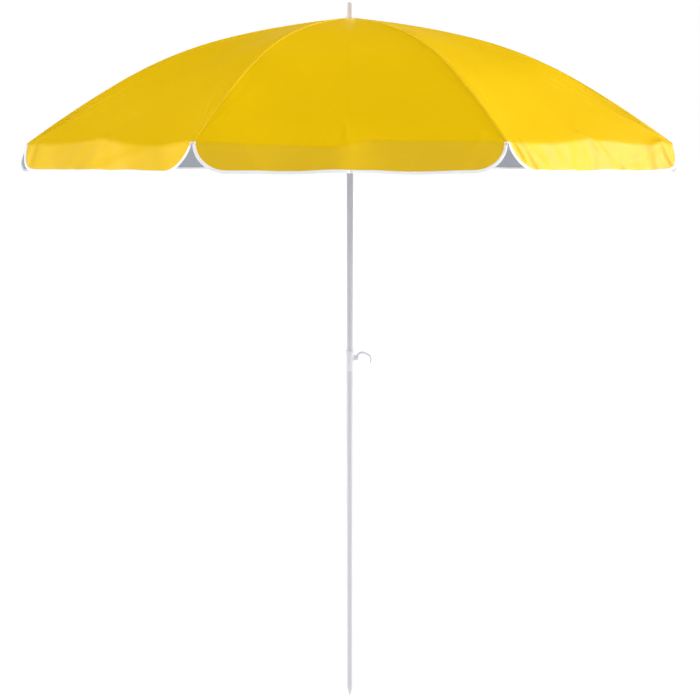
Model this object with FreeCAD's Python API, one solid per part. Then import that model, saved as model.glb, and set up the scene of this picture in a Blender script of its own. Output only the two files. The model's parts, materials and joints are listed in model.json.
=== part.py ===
import FreeCAD, Part

import math
import os

# A beach umbrella with eight ribs, standing on its ground spike, all sizes in millimetres.
# The origin is the point of the spike and the pole runs up the Z axis. The eight ribs are in vertical
# planes through the pole, and the first is 22.5 degrees from +X, so that a cloth panel faces -Y.
# The clamp screw of the pole and its hook point along +X.

Vector = FreeCAD.Vector

# two-part pole
lower_pole_radius = 11.0
lower_pole_wall = 1.0
lower_pole_neck_radius = 10.7
upper_pole_radius = 9.5
upper_pole_wall = 0.9
spike_height = 29.0
spike_point_radius = 2.2
spike_point_height = 2.4
spike_shoulder = 3.0
spike_spigot_top = 62.0
lower_pole_top = 1026.0
upper_pole_bottom = 880.0
bush_height = 30.0
bush_rim = 6.0
bush_wall = 1.5
running_gap = 0.1
sliding_gap = 0.3
chamfer = 0.8
through_cut = 60.0  # longer than any small piece that a cutter passes through

# clamp collar at the top of the lower pole, with its nut, stud and hook-shaped handle
collar_bottom = 976.0
collar_top = 1036.0
collar_radius = 12.8
collar_lip_radius = 13.4
collar_lip_height = 5.0
clamp_height = 1013.0
boss_radius = 8.5
boss_reach = 15.5
nut_width = 10.0
nut_thickness = 3.0
nut_inner_reach = 11.2
nut_pocket_start = 9.0
stud_radius = 3.0
stud_start = 9.75
stud_reach = 22.0
handle_hub_radius = 7.0
handle_hub_reach = 24.0
hook_root_radius = 3.9
hook_end_radius = 3.0
# the middle of the hook, as reach from the pole's axis and height above the stud's axis
hook_route = [(20.5, 4), (25, 11.5), (32.6, 15), (47.3, 12.7), (57.4, 6), (60.9, -2.3), (59.2, -12.4)]

# ribs and stretchers: steel rods with flattened eyes, threaded on a wire ring in the crown and the runner
rib_count = 8
first_rib_angle = 22.5
rod_radius = 1.75
crown_pivot_height = 1971.5
pivot_radius = 18.0
# reach from the pole's axis and slope below level where the rib's tangent arcs meet
rib_stations = [(pivot_radius, 6.0), (370.0, 15.5), (660.0, 31.0), (896.0, 36.5)]
eye_radius = 4.0
eye_thickness = 1.6
tongue_width = 5.0
tongue_length = 10.0
tongue_overlap = 1.0
ring_wire_radius = 1.0
rib_tip_radius = 2.6
rib_tip_length = 16.0
rib_tip_past_rod = 4.0

# clip that holds a stretcher's outer eye under its rib
clip_reach = 410.0
clip_drop = 9.0
clip_length = 12.0
clip_wall = 1.0
clip_rivet_radius = 1.5
clip_rivet_head_radius = 2.8
clip_rivet_head_height = 1.0

# crown and runner
hub_radius = 22.0
hub_slot_floor = 13.4
hub_slot_width = 2.2
hub_slot_clearance = 0.5
hub_cover = 6.0
hub_open_side = 5.0
sleeve_radius = 13.0
crown_sleeve_depth = 26.0
crown_rivet_depth = 18.0
crown_rivet_radius = 1.6
crown_rivet_head_radius = 3.2
crown_rivet_head_height = 1.6
runner_grip_depth = 40.0
runner_flange_radius = 15.5
runner_flange_height = 3.0

# sprung catch in the upper pole, which holds the runner up
catch_lever_height = 34.0
catch_outer_reach = 13.5
catch_pivot_reach = 6.5
catch_pin_radius = 1.2
catch_foot = 2.0
catch_latch_height = 8.0
catch_spine_height = 26.0
catch_thickness = 2.4
catch_slot_width = 3.0

# canopy cloth and finial
cloth_thickness = 0.8
cloth_lift = 4.0
cloth_crown_lift = 3.4
cloth_crown_reach = 170.0
cloth_hole_radius = 11.0
cloth_reach = 902.0
cloth_seam_gap = 0.6
cloth_section_points = 12
valance_depth = 75.0
valance_flare = 20.0
valance_corner_width = 78.0
finial_seat_gap = 0.5
finial_base_radius = 13.9
finial_base_height = 1.6
finial_radius = 10.4
finial_top_radius = 9.6
finial_height = 45.0
finial_flare_height = 8.0
finial_dome_height = 5.0
finial_plug_depth = 14.0
finial_neck_radius = 9.2

half_panel = math.radians(180.0 / rib_count)
up = Vector(0, 0, 1)
along_x = Vector(1, 0, 0)
along_y = Vector(0, 1, 0)
origin = Vector(0, 0, 0)


def save(shape, node):
    if not shape.isValid():
        raise ValueError("the shape of " + node + " is not valid")
    shape.exportStep("parts/" + node + ".step")


def at(reach, height):
    return Vector(reach, 0, height)


def pipe(outer, inner, bottom, top):
    shell = Part.makeCylinder(outer, top - bottom, at(0, bottom))
    return shell.cut(Part.makeCylinder(inner, top - bottom, at(0, bottom)))


def turned(points):
    outline = Part.makePolygon([at(*point) for point in points + points[:1]])
    return Part.Face(outline).revolve(origin, up, 360)


def plate(points, thickness):
    outline = Part.makePolygon([at(*point) for point in points + points[:1]])
    outline.translate(Vector(0, -thickness / 2, 0))
    return Part.Face(outline).extrude(Vector(0, thickness, 0))


def cross_pin(radius, length, reach, height):
    return Part.makeCylinder(radius, length, Vector(reach, -length / 2, height), along_y)


def rib_angle(number):
    return first_rib_angle + 360.0 / rib_count * (number - 1)


def about_pole(shape, angle):
    moved = shape.copy()
    moved.rotate(origin, up, angle)
    return moved


# Each arc of the rib is its centre, its radius and the slopes where it starts and ends.
def rib_arcs():
    arcs = []
    height = crown_pivot_height
    for (reach_a, slope_a), (reach_b, slope_b) in zip(rib_stations, rib_stations[1:]):
        start = math.radians(slope_a)
        end = math.radians(slope_b)
        radius = (reach_b - reach_a) / (math.sin(end) - math.sin(start))
        centre = (reach_a - radius * math.sin(start), height - radius * math.cos(start))
        arcs.append((centre, radius, start, end))
        height = centre[1] + radius * math.cos(end)
    return arcs


# The height and slope of the rib's centreline at a reach from the pole's axis.
def rib_line(reach):
    for centre, radius, start, end in rib_arcs():
        slope = math.asin((reach - centre[0]) / radius)
        if slope <= end:
            break
    return centre[1] + radius * math.cos(slope), slope


def rib_point(reach):
    return at(reach, rib_line(reach)[0])


def rod_eye(pivot, toward):
    slope = math.degrees(math.atan2(pivot.z - toward.z, toward.x - pivot.x))
    tongue = Part.makeBox(tongue_length + tongue_overlap, eye_thickness, tongue_width,
                          Vector(0, -eye_thickness / 2, -tongue_width / 2))
    tongue.rotate(origin, along_y, slope)
    tongue.translate(pivot)
    return tongue.fuse(cross_pin(eye_radius, eye_thickness, pivot.x, pivot.z))


def rib():
    first = pivot_radius + tongue_length
    bends = [first] + [reach for reach, slope in rib_stations[1:]]
    arcs = []
    for start, end in zip(bends, bends[1:]):
        arc = Part.Arc(rib_point(start), rib_point((start + end) / 2), rib_point(end))
        arcs.append(arc.toShape())
    slope = rib_line(first)[1]
    section = Part.makeCircle(rod_radius, rib_point(first), at(math.cos(slope), -math.sin(slope)))
    rod = Part.Wire(arcs).makePipeShell([Part.Wire(section)], True, True)
    eye_hole = cross_pin(ring_wire_radius + running_gap, through_cut, pivot_radius, crown_pivot_height)
    return rod.fuse(rod_eye(rib_point(pivot_radius), rib_point(first))).cut(eye_hole)


def clip_pivot():
    height, slope = rib_line(clip_reach)
    return at(clip_reach - clip_drop * math.sin(slope), height - clip_drop * math.cos(slope))


# The crown pivot, the clip pivot and the runner pivot make a triangle with two equal sides,
# so the runner pivot is as far below the clip pivot as the clip pivot is below the crown pivot.
def runner_pivot():
    return at(pivot_radius, 2 * clip_pivot().z - crown_pivot_height)


def stretcher():
    outer = clip_pivot()
    inner = runner_pivot()
    direction = (inner - outer).normalize()
    length = outer.distanceToPoint(inner) - 2 * tongue_length
    rod = Part.makeCylinder(rod_radius, length, outer + direction * tongue_length, direction)
    eyes = rod_eye(outer, inner).fuse(rod_eye(inner, outer))
    rivet_hole = cross_pin(clip_rivet_radius + running_gap, through_cut, outer.x, outer.z)
    ring_hole = cross_pin(ring_wire_radius + running_gap, through_cut, inner.x, inner.z)
    return rod.fuse(eyes).cut(rivet_hole).cut(ring_hole)


# The clip is a strip folded over the rib, with a cheek each side of the stretcher's eye and a rivet.
def rib_clip():
    outer = rod_radius + clip_wall
    cheek_depth = clip_drop + eye_radius
    saddle = Part.makeCylinder(outer, clip_length, Vector(-clip_length / 2, 0, 0), along_x)
    sides = Part.makeBox(clip_length, 2 * outer, cheek_depth, Vector(-clip_length / 2, -outer, -cheek_depth))
    inside = Part.makeCylinder(rod_radius, clip_length, Vector(-clip_length / 2, 0, 0), along_x)
    gap = Part.makeBox(clip_length, 2 * rod_radius, cheek_depth,
                       Vector(-clip_length / 2, -rod_radius, -cheek_depth))
    hole = cross_pin(clip_rivet_radius, 2 * outer, 0, -clip_drop)
    clip = saddle.fuse(sides).cut(inside).cut(gap).cut(hole)
    rivet = cross_pin(clip_rivet_radius, 2 * outer, 0, -clip_drop)
    for side in (-1, 1):
        head = Part.makeCylinder(clip_rivet_head_radius, clip_rivet_head_height,
                                 Vector(0, side * outer, -clip_drop), Vector(0, side, 0))
        rivet = rivet.fuse(head)
    both = Part.makeCompound([clip, rivet])
    height, slope = rib_line(clip_reach)
    both.rotate(origin, along_y, math.degrees(slope))
    both.translate(at(clip_reach, height))
    return both


def rib_tip():
    end_reach = rib_stations[-1][0]
    height, slope = rib_line(end_reach)
    socket = rib_tip_length - rib_tip_past_rod
    cap = Part.makeCylinder(rib_tip_radius, rib_tip_length - rib_tip_radius, Vector(-socket, 0, 0), along_x)
    cap = cap.fuse(Part.makeSphere(rib_tip_radius, Vector(rib_tip_past_rod - rib_tip_radius, 0, 0)))
    cap = cap.cut(Part.makeCylinder(rod_radius, socket, Vector(-socket, 0, 0), along_x))
    cap.rotate(origin, along_y, math.degrees(slope))
    cap.translate(at(end_reach, height))
    return cap


# A round hub with a slot for each eye, and a channel round it for the wire ring.
def hub(pivot_height, bore, slots_open):
    below = hub_cover if slots_open == "up" else hub_open_side
    above = hub_open_side if slots_open == "up" else hub_cover
    body = pipe(hub_radius, bore, pivot_height - below, pivot_height + above)
    slot_clear = eye_radius + hub_slot_clearance
    low = -slot_clear if slots_open == "up" else -below
    high = above if slots_open == "up" else slot_clear
    for number in range(1, rib_count + 1):
        slot = Part.makeBox(hub_radius, hub_slot_width, high - low,
                            Vector(hub_slot_floor, -hub_slot_width / 2, pivot_height + low))
        body = body.cut(about_pole(slot, rib_angle(number)))
    half_channel = ring_wire_radius + running_gap / 2
    channel = pipe(hub_radius, pivot_radius - ring_wire_radius, pivot_height - half_channel,
                   pivot_height + half_channel)
    return body.cut(channel)


def wire_ring(pivot_height):
    return Part.makeTorus(pivot_radius, ring_wire_radius, at(0, pivot_height))


def crown():
    sleeve = pipe(sleeve_radius, upper_pole_radius, crown_pivot_height - crown_sleeve_depth,
                  crown_pivot_height - hub_open_side)
    hole = cross_pin(crown_rivet_radius, through_cut, 0, crown_pivot_height - crown_rivet_depth)
    return hub(crown_pivot_height, upper_pole_radius, "down").fuse(sleeve).cut(hole)


def crown_rivet():
    height = crown_pivot_height - crown_rivet_depth
    rivet = cross_pin(crown_rivet_radius, 2 * sleeve_radius, 0, height)
    for side in (-1, 1):
        foot = Vector(0, side * sleeve_radius, height)
        rivet = rivet.fuse(Part.makeSphere(crown_rivet_head_radius, foot, Vector(0, side, 0), 0, 90))
    around = Part.makeCylinder(sleeve_radius + crown_rivet_head_height, 4 * crown_rivet_head_radius,
                               at(0, height - 2 * crown_rivet_head_radius))
    return rivet.common(around)


def runner():
    pivot_height = runner_pivot().z
    bore = upper_pole_radius + sliding_gap
    grip = pipe(sleeve_radius, bore, pivot_height - runner_grip_depth, pivot_height - hub_cover)
    flange = pipe(runner_flange_radius, bore, pivot_height - runner_grip_depth,
                  pivot_height - runner_grip_depth + runner_flange_height)
    return hub(pivot_height, bore, "up").fuse(grip).fuse(flange)


def catch_top():
    return runner_pivot().z - runner_grip_depth - sliding_gap


def catch_pivot():
    return at(catch_pivot_reach, catch_top() - catch_lever_height)


def runner_catch():
    top = catch_top()
    foot = catch_pivot()
    lever = plate([(foot.x - catch_foot, foot.z - catch_foot), (foot.x + catch_foot, foot.z - catch_foot),
                   (catch_outer_reach, top - catch_latch_height), (catch_outer_reach, top),
                   (foot.x + chamfer, top), (foot.x - catch_foot, top - catch_spine_height)],
                  catch_thickness)
    return lever.cut(cross_pin(catch_pin_radius + running_gap, through_cut, foot.x, foot.z))


def catch_pin():
    pin = cross_pin(catch_pin_radius, 2 * upper_pole_radius, catch_pivot().x, catch_pivot().z)
    bottom = catch_pivot().z - 2 * catch_pin_radius
    return pin.common(Part.makeCylinder(upper_pole_radius, 4 * catch_pin_radius, at(0, bottom)))


def upper_pole():
    top = crown_pivot_height + hub_cover
    tube = pipe(upper_pole_radius, upper_pole_radius - upper_pole_wall, upper_pole_bottom, top)
    rivet_hole = cross_pin(crown_rivet_radius, through_cut, 0, crown_pivot_height - crown_rivet_depth)
    pin_hole = cross_pin(catch_pin_radius, through_cut, catch_pivot().x, catch_pivot().z)
    slot_bottom = catch_pivot().z - 2 * catch_foot
    slot = Part.makeBox(hub_radius, catch_slot_width, catch_top() + catch_foot - slot_bottom,
                        Vector(0, -catch_slot_width / 2, slot_bottom))
    return tube.cut(rivet_hole).cut(pin_hole).cut(slot)


# The collar fits on a neck, a little thinner than the rest of the tube.
def lower_pole():
    bore = lower_pole_radius - lower_pole_wall
    neck = pipe(lower_pole_neck_radius, bore, collar_bottom, lower_pole_top)
    tube = pipe(lower_pole_radius, bore, spike_height, collar_bottom).fuse(neck)
    return tube.cut(Part.makeCylinder(stud_radius + sliding_gap, through_cut, at(0, clamp_height), along_x))


def ground_spike():
    spigot = lower_pole_radius - lower_pole_wall
    return turned([(0, 0), (spike_point_radius, spike_point_height),
                   (lower_pole_radius - chamfer, spike_height - spike_shoulder),
                   (lower_pole_radius, spike_height), (spigot, spike_height),
                   (spigot, spike_spigot_top - chamfer), (spigot - chamfer, spike_spigot_top),
                   (0, spike_spigot_top)])


def pole_end_bush():
    inside = upper_pole_radius - upper_pole_wall - running_gap
    outside = lower_pole_radius - lower_pole_wall - running_gap
    rim_bottom = upper_pole_bottom - running_gap - bush_rim
    return turned([(inside - bush_wall, rim_bottom), (outside, rim_bottom), (outside, rim_bottom + bush_rim),
                   (inside, rim_bottom + bush_rim), (inside, rim_bottom + bush_height),
                   (inside - bush_wall, rim_bottom + bush_height)])


def clamp_collar():
    narrow_bore = upper_pole_radius + sliding_gap
    lip_bottom = collar_top - collar_lip_height
    shell = turned([(lower_pole_neck_radius, collar_bottom), (collar_radius - chamfer, collar_bottom),
                    (collar_radius, collar_bottom + chamfer), (collar_radius, lip_bottom),
                    (collar_lip_radius, lip_bottom + chamfer), (collar_lip_radius, collar_top - chamfer),
                    (collar_lip_radius - chamfer, collar_top),
                    (narrow_bore, collar_top), (narrow_bore, lower_pole_top),
                    (lower_pole_neck_radius, lower_pole_top)])
    boss = Part.makeCylinder(boss_radius, boss_reach, at(0, clamp_height), along_x)
    inside = Part.makeCylinder(lower_pole_neck_radius, 4 * boss_radius, at(0, clamp_height - 2 * boss_radius))
    boss = boss.cut(inside)
    stud_hole = Part.makeCylinder(stud_radius + sliding_gap, 2 * boss_reach, at(0, clamp_height), along_x)
    pocket = Part.makeBox(nut_inner_reach + nut_thickness - nut_pocket_start, nut_width, nut_width,
                          Vector(nut_pocket_start, -nut_width / 2, clamp_height - nut_width / 2))
    return shell.fuse(boss).cut(stud_hole).cut(pocket)


def clamp_nut():
    block = Part.makeBox(nut_thickness, nut_width, nut_width,
                         Vector(nut_inner_reach, -nut_width / 2, clamp_height - nut_width / 2))
    return block.cut(Part.makeCylinder(stud_radius + running_gap, through_cut, at(0, clamp_height), along_x))


def clamp_stud():
    return Part.makeCylinder(stud_radius, stud_reach - stud_start, at(stud_start, clamp_height), along_x)


# The handle is a hub on the stud, with a tapering hook that bags can hang from.
def clamp_hook():
    hub_start = boss_reach + sliding_gap
    handle = Part.makeCylinder(handle_hub_radius, handle_hub_reach - hub_start, at(hub_start, clamp_height),
                               along_x)
    points = [at(reach, clamp_height + height) for reach, height in hook_route]
    curve = Part.BSplineCurve()
    curve.interpolate(points)
    path = Part.Wire(curve.toShape())
    sections = []
    for where, radius in ((curve.FirstParameter, hook_root_radius), (curve.LastParameter, hook_end_radius)):
        circle = Part.makeCircle(radius, curve.value(where), curve.tangent(where)[0])
        sections.append(Part.Wire(circle))
    crook = path.makePipeShell(sections, True, True)
    handle = handle.fuse(crook).fuse(Part.makeSphere(hook_end_radius, points[-1]))
    stud_hole = Part.makeCylinder(stud_radius, stud_reach - hub_start, at(hub_start, clamp_height), along_x)
    return handle.cut(stud_hole)


# The height of the cloth's inner face over the rib's centreline, at a reach along the rib.
def cloth_height(reach):
    near_crown = max(0.0, 1 - (reach - hub_radius) / cloth_crown_reach)
    return rib_line(reach)[0] + cloth_lift + cloth_crown_lift * near_crown


# A panel is drawn facing +X and is level from rib to rib, so its section through the middle,
# from the crown to the rim and down the valance, is swept sideways and trimmed to the panel's outline.
def canopy_panel():
    reaches = [cloth_hole_radius + (cloth_reach - cloth_hole_radius) * (step / cloth_section_points) ** 1.4
               for step in range(cloth_section_points + 1)]
    inner = [at(reach * math.cos(half_panel), cloth_height(reach)) for reach in reaches]
    outer = []
    for before, point, after in zip(inner[:1] + inner, inner, inner[1:] + inner[-1:]):
        direction = (after - before).normalize()
        outer.append(point + at(-direction.z, direction.x) * cloth_thickness)
    flare = math.radians(valance_flare)
    drop = at(math.sin(flare), -math.cos(flare)) * valance_depth
    thick = at(math.cos(flare), math.sin(flare)) * cloth_thickness
    hem_inner = inner[-1] + drop
    hem_outer = hem_inner + thick
    under = Part.BSplineCurve()
    under.interpolate(inner)
    over = Part.BSplineCurve()
    over.interpolate(outer)
    edges = [under.toShape(), Part.makeLine(inner[-1], hem_inner), Part.makeLine(hem_inner, hem_outer),
             Part.makeLine(hem_outer, outer[-1]), over.toShape(), Part.makeLine(outer[0], inner[0])]
    section = Part.Face(Part.Wire(edges))
    width = 2 * cloth_reach
    section.translate(Vector(0, -width / 2, 0))
    sheet = section.extrude(Vector(0, width, 0))
    seam = cloth_seam_gap / 2 / math.sin(half_panel)
    far = cloth_reach + valance_depth
    spread = (far - seam) * math.tan(half_panel)
    wedge = Part.Face(Part.makePolygon([Vector(seam, 0, 0), Vector(far, -spread, 0), Vector(far, spread, 0),
                                        Vector(seam, 0, 0)])).extrude(up * 2 * crown_pivot_height)
    panel = sheet.common(wedge).common(panel_outline(inner[-1].z, hem_inner.z - cloth_thickness))
    hole = Part.makeCylinder(cloth_hole_radius, through_cut, at(0, crown_pivot_height - through_cut / 2))
    return panel.cut(hole)


# The outline from the front: straight above the rim, with rounded lower corners on the valance.
def panel_outline(rim, hem):
    side = cloth_reach * math.sin(half_panel) - cloth_seam_gap / 2
    flat = side - valance_corner_width
    corner = math.radians(45)
    bulge = flat + valance_corner_width * math.sin(corner)
    dip = rim - (rim - hem) * math.cos(corner)
    top = crown_pivot_height + through_cut
    corners = [Vector(0, -side, top), Vector(0, -side, rim), Vector(0, -bulge, dip), Vector(0, -flat, hem),
               Vector(0, flat, hem), Vector(0, bulge, dip), Vector(0, side, rim), Vector(0, side, top)]
    edges = [Part.makeLine(corners[0], corners[1]), Part.Arc(*corners[1:4]).toShape(),
             Part.makeLine(corners[3], corners[4]), Part.Arc(*corners[4:7]).toShape(),
             Part.makeLine(corners[6], corners[7]), Part.makeLine(corners[7], corners[0])]
    return Part.Face(Part.Wire(edges)).extrude(along_x * (cloth_reach + valance_depth))


# The cap is turned: a flared base on the cloth, a slightly tapered body and a domed top.
def finial():
    foot = cloth_height(cloth_hole_radius) + cloth_thickness + finial_seat_gap
    crown_top = crown_pivot_height + hub_cover
    plug = upper_pole_radius - upper_pole_wall
    base_top = foot + finial_base_height
    flare_top = foot + finial_flare_height
    shoulder = foot + finial_height - finial_dome_height
    inner = [at(finial_radius, flare_top), at(finial_top_radius, shoulder)]
    flare_middle = at(finial_radius + chamfer, (base_top + flare_top) / 2)
    flare = Part.Arc(at(finial_base_radius, base_top), flare_middle, inner[0])
    top = at(0, foot + finial_height)
    dome_radius = (finial_top_radius ** 2 + finial_dome_height ** 2) / (2 * finial_dome_height)
    half_way = math.asin(finial_top_radius / dome_radius) / 2
    dome_middle = top + at(dome_radius * math.sin(half_way), dome_radius * (math.cos(half_way) - 1))
    lower = [top, at(0, crown_top - finial_plug_depth), at(plug, crown_top - finial_plug_depth),
             at(plug, crown_top), at(finial_neck_radius, crown_top), at(finial_neck_radius, foot),
             at(finial_base_radius, foot), at(finial_base_radius, base_top)]
    edges = Part.makePolygon(lower).Edges
    edges += [flare.toShape(), Part.makeLine(*inner), Part.Arc(inner[1], dome_middle, top).toShape()]
    return Part.Face(Part.Wire(edges)).revolve(origin, up, 360)


os.makedirs("parts", exist_ok=True)

save(ground_spike(), "ground_spike")
save(lower_pole(), "lower_pole")
save(clamp_collar(), "clamp_collar")
save(clamp_nut(), "clamp_nut")
save(clamp_stud(), "clamp_stud")
save(clamp_hook(), "clamp_hook")
save(pole_end_bush(), "pole_end_bush")
save(upper_pole(), "upper_pole")
save(catch_pin(), "catch_pin")
save(runner_catch(), "runner_catch")
save(crown(), "crown")
save(wire_ring(crown_pivot_height), "crown_ring")
save(crown_rivet(), "crown_rivet")
save(finial(), "finial")
save(runner(), "runner")
save(wire_ring(runner_pivot().z), "runner_ring")

one_of_each = {
    "rib": rib(),
    "rib_clip": rib_clip(),
    "rib_tip": rib_tip(),
    "stretcher": stretcher(),
    "canopy_panel": about_pole(canopy_panel(), math.degrees(half_panel)),
}
for number in range(1, rib_count + 1):
    for name, shape in one_of_each.items():
        save(about_pole(shape, rib_angle(number)), name + "_" + str(number))
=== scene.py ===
import json
import math

import bpy
import numpy as np
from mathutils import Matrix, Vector


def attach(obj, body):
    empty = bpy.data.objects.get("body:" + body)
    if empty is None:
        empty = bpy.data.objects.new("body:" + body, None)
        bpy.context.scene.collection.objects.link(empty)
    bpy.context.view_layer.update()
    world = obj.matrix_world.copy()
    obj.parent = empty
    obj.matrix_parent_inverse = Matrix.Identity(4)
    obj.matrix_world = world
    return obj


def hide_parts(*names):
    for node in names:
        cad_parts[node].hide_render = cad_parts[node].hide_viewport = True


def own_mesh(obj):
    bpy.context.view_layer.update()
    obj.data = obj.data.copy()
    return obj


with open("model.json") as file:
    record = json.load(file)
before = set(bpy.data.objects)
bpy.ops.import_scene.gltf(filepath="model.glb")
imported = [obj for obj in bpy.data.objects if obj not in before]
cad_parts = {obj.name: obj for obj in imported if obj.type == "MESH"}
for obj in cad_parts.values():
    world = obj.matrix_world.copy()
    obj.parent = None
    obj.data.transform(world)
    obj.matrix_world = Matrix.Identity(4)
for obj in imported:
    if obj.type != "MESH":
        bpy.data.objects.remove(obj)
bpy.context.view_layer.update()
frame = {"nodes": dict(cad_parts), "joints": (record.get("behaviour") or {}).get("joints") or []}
nodes = frame["nodes"]
joints = {joint["name"]: joint for joint in frame["joints"]}
ribCount = sum(name.startswith("stretcher_") for name in nodes)
ribNumbers = range(1, ribCount + 1)
print("frame loaded,", len(nodes), "nodes and", ribCount, "ribs")


def linear(hexColour):  # an sRGB hex colour as the linear one that shaders take
    channels = [int(hexColour[i:i + 2], 16) / 255 for i in (0, 2, 4)]
    curve = [c / 12.92 if c <= 0.04045 else ((c + 0.055) / 1.055) ** 2.4 for c in channels]
    return (*curve, 1.0)


def addNode(tree, kind, settings=None, inputs=None):  # an input takes a value or another node's socket
    node = tree.nodes.new(kind)
    for name, value in (settings or {}).items():
        setattr(node, name, value)
    for name, value in (inputs or {}).items():
        if isinstance(value, bpy.types.NodeSocket):
            tree.links.new(value, node.inputs[name])
        else:
            node.inputs[name].default_value = value
    return node


def blankMaterial(name):
    material = bpy.data.materials.new(name)
    material.use_nodes = True
    material.node_tree.nodes.clear()
    return material, material.node_tree


def smoothStep(low, high, value):  # works on single numbers and on arrays
    share = np.clip((value - low) / (high - low), 0.0, 1.0)
    return share * share * (3 - 2 * share)


def makeObject(name, data):
    piece = bpy.data.objects.new(name, data)
    bpy.context.scene.collection.objects.link(piece)
    return piece


def makeMesh(name, points, faces=(), edges=(), material=None):
    data = bpy.data.meshes.new(name)
    data.from_pydata(points, edges, faces)
    if material:
        data.materials.append(material)
    data.shade_smooth()
    return data


def bakeModifiers(piece):  # the evaluated result becomes the piece's own plain mesh
    graph = bpy.context.evaluated_depsgraph_get()
    done = bpy.data.meshes.new_from_object(piece.evaluated_get(graph))
    old = piece.data
    piece.modifiers.clear()
    piece.data = done
    bpy.data.meshes.remove(old)
    done.name = piece.name
    done.set_sharp_from_angle(angle=math.radians(60))  # cut edges stay crisp beside smooth faces
    return piece


# Bands of a wave texture repeat every 1 / (10 * scale / pi) metres, so this is the scale for a real spacing.
def bandScale(spacing):
    return math.pi / 10 / spacing


clothLook = {
    "yellow": "E1B800",
    "yellowDeep": "DBB200",
    "silver": "A7ABB1",
    "silverDark": "989CA3",
    "threadSpacing": 0.0010,  # 0.25 mm in the real cloth, drawn coarser so that it shows
    "slub": 0.004,            # spacing of the thicker threads
    "handling": 0.030,        # size of the soft dents left by folding and carrying
    "roughness": 0.36,
}


# Polyester taffeta, plain woven, dyed and calendered. The hot rollers leave it smooth, so it has a soft gloss
# along its folds, and a fine checked grain close up.
def polyesterTaffeta():
    material, tree = blankMaterial("polyesterTaffeta")
    place = addNode(tree, "ShaderNodeTexCoord")
    threads = []
    for direction in ("X", "Y"):
        wave = addNode(tree, "ShaderNodeTexWave", {"bands_direction": direction},
                       {"Vector": place.outputs["UV"], "Scale": bandScale(clothLook["threadSpacing"]),
                        "Distortion": 0.5, "Detail": 1.0})
        threads.append(wave.outputs["Fac"])
    weave = addNode(tree, "ShaderNodeMath", {"operation": "MAXIMUM"}, {0: threads[0], 1: threads[1]})
    stretch = addNode(tree, "ShaderNodeMapping", None, {"Vector": place.outputs["UV"],
                                                        "Scale": (1 / clothLook["slub"], 12.0, 1.0)})
    slubs = addNode(tree, "ShaderNodeTexNoise", None, {"Vector": stretch.outputs["Vector"], "Scale": 1.0,
                                                       "Detail": 3.0})
    dents = addNode(tree, "ShaderNodeTexNoise", None,
                    {"Vector": place.outputs["Object"], "Scale": 1 / clothLook["handling"], "Detail": 3.0,
                     "Roughness": 0.5, "Distortion": 0.6})
    dye = addNode(tree, "ShaderNodeTexNoise", None,
                  {"Vector": place.outputs["Object"], "Scale": 5.0, "Detail": 2.0})
    blend = addNode(tree, "ShaderNodeMath", {"operation": "MULTIPLY"},
                    {0: dye.outputs["Fac"], 1: slubs.outputs["Fac"]})
    tint = addNode(tree, "ShaderNodeMix", {"data_type": "RGBA"},
                   {"Factor": blend.outputs[0], 6: linear(clothLook["yellow"]),
                    7: linear(clothLook["yellowDeep"])})
    gloss = addNode(tree, "ShaderNodeMapRange", None,
                    {"Value": dents.outputs["Fac"], "To Min": clothLook["roughness"] - 0.05,
                     "To Max": clothLook["roughness"] + 0.07})
    fine = addNode(tree, "ShaderNodeBump", None, {"Height": weave.outputs[0], "Strength": 0.2,
                                                  "Distance": 0.0002})
    soft = addNode(tree, "ShaderNodeBump", None, {"Height": dents.outputs["Fac"], "Strength": 0.16,
                                                  "Distance": 0.003, "Normal": fine.outputs["Normal"]})
    shader = addNode(tree, "ShaderNodeBsdfPrincipled", None,
                     {"Base Color": tint.outputs[2], "Roughness": gloss.outputs["Result"],
                      "Normal": soft.outputs["Normal"], "IOR": 1.45, "Specular IOR Level": 0.34})
    addNode(tree, "ShaderNodeOutputMaterial", None, {"Surface": shader.outputs["BSDF"]})
    return material


# Aluminium pigment in polyurethane, knife coated on the inside of the cloth: even silver grey with a dull
# metallic glow, and the weave pressed faintly into it.
def silverCoating():
    material, tree = blankMaterial("silverCoating")
    place = addNode(tree, "ShaderNodeTexCoord")
    weave = addNode(tree, "ShaderNodeTexWave", {"bands_direction": "DIAGONAL"},
                    {"Vector": place.outputs["UV"], "Scale": bandScale(clothLook["threadSpacing"]),
                     "Distortion": 1.0})
    cloud = addNode(tree, "ShaderNodeTexNoise", None, {"Vector": place.outputs["Object"], "Scale": 9.0,
                                                       "Detail": 3.0})
    tint = addNode(tree, "ShaderNodeMix", {"data_type": "RGBA"},
                   {"Factor": cloud.outputs["Fac"], 6: linear(clothLook["silver"]),
                    7: linear(clothLook["silverDark"])})
    bump = addNode(tree, "ShaderNodeBump", None, {"Height": weave.outputs["Fac"], "Strength": 0.2,
                                                  "Distance": 0.0002})
    shader = addNode(tree, "ShaderNodeBsdfPrincipled", None,
                     {"Base Color": tint.outputs[2], "Metallic": 0.3, "Roughness": 0.48,
                      "Normal": bump.outputs["Normal"]})
    addNode(tree, "ShaderNodeOutputMaterial", None, {"Surface": shader.outputs["BSDF"]})
    return material


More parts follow.
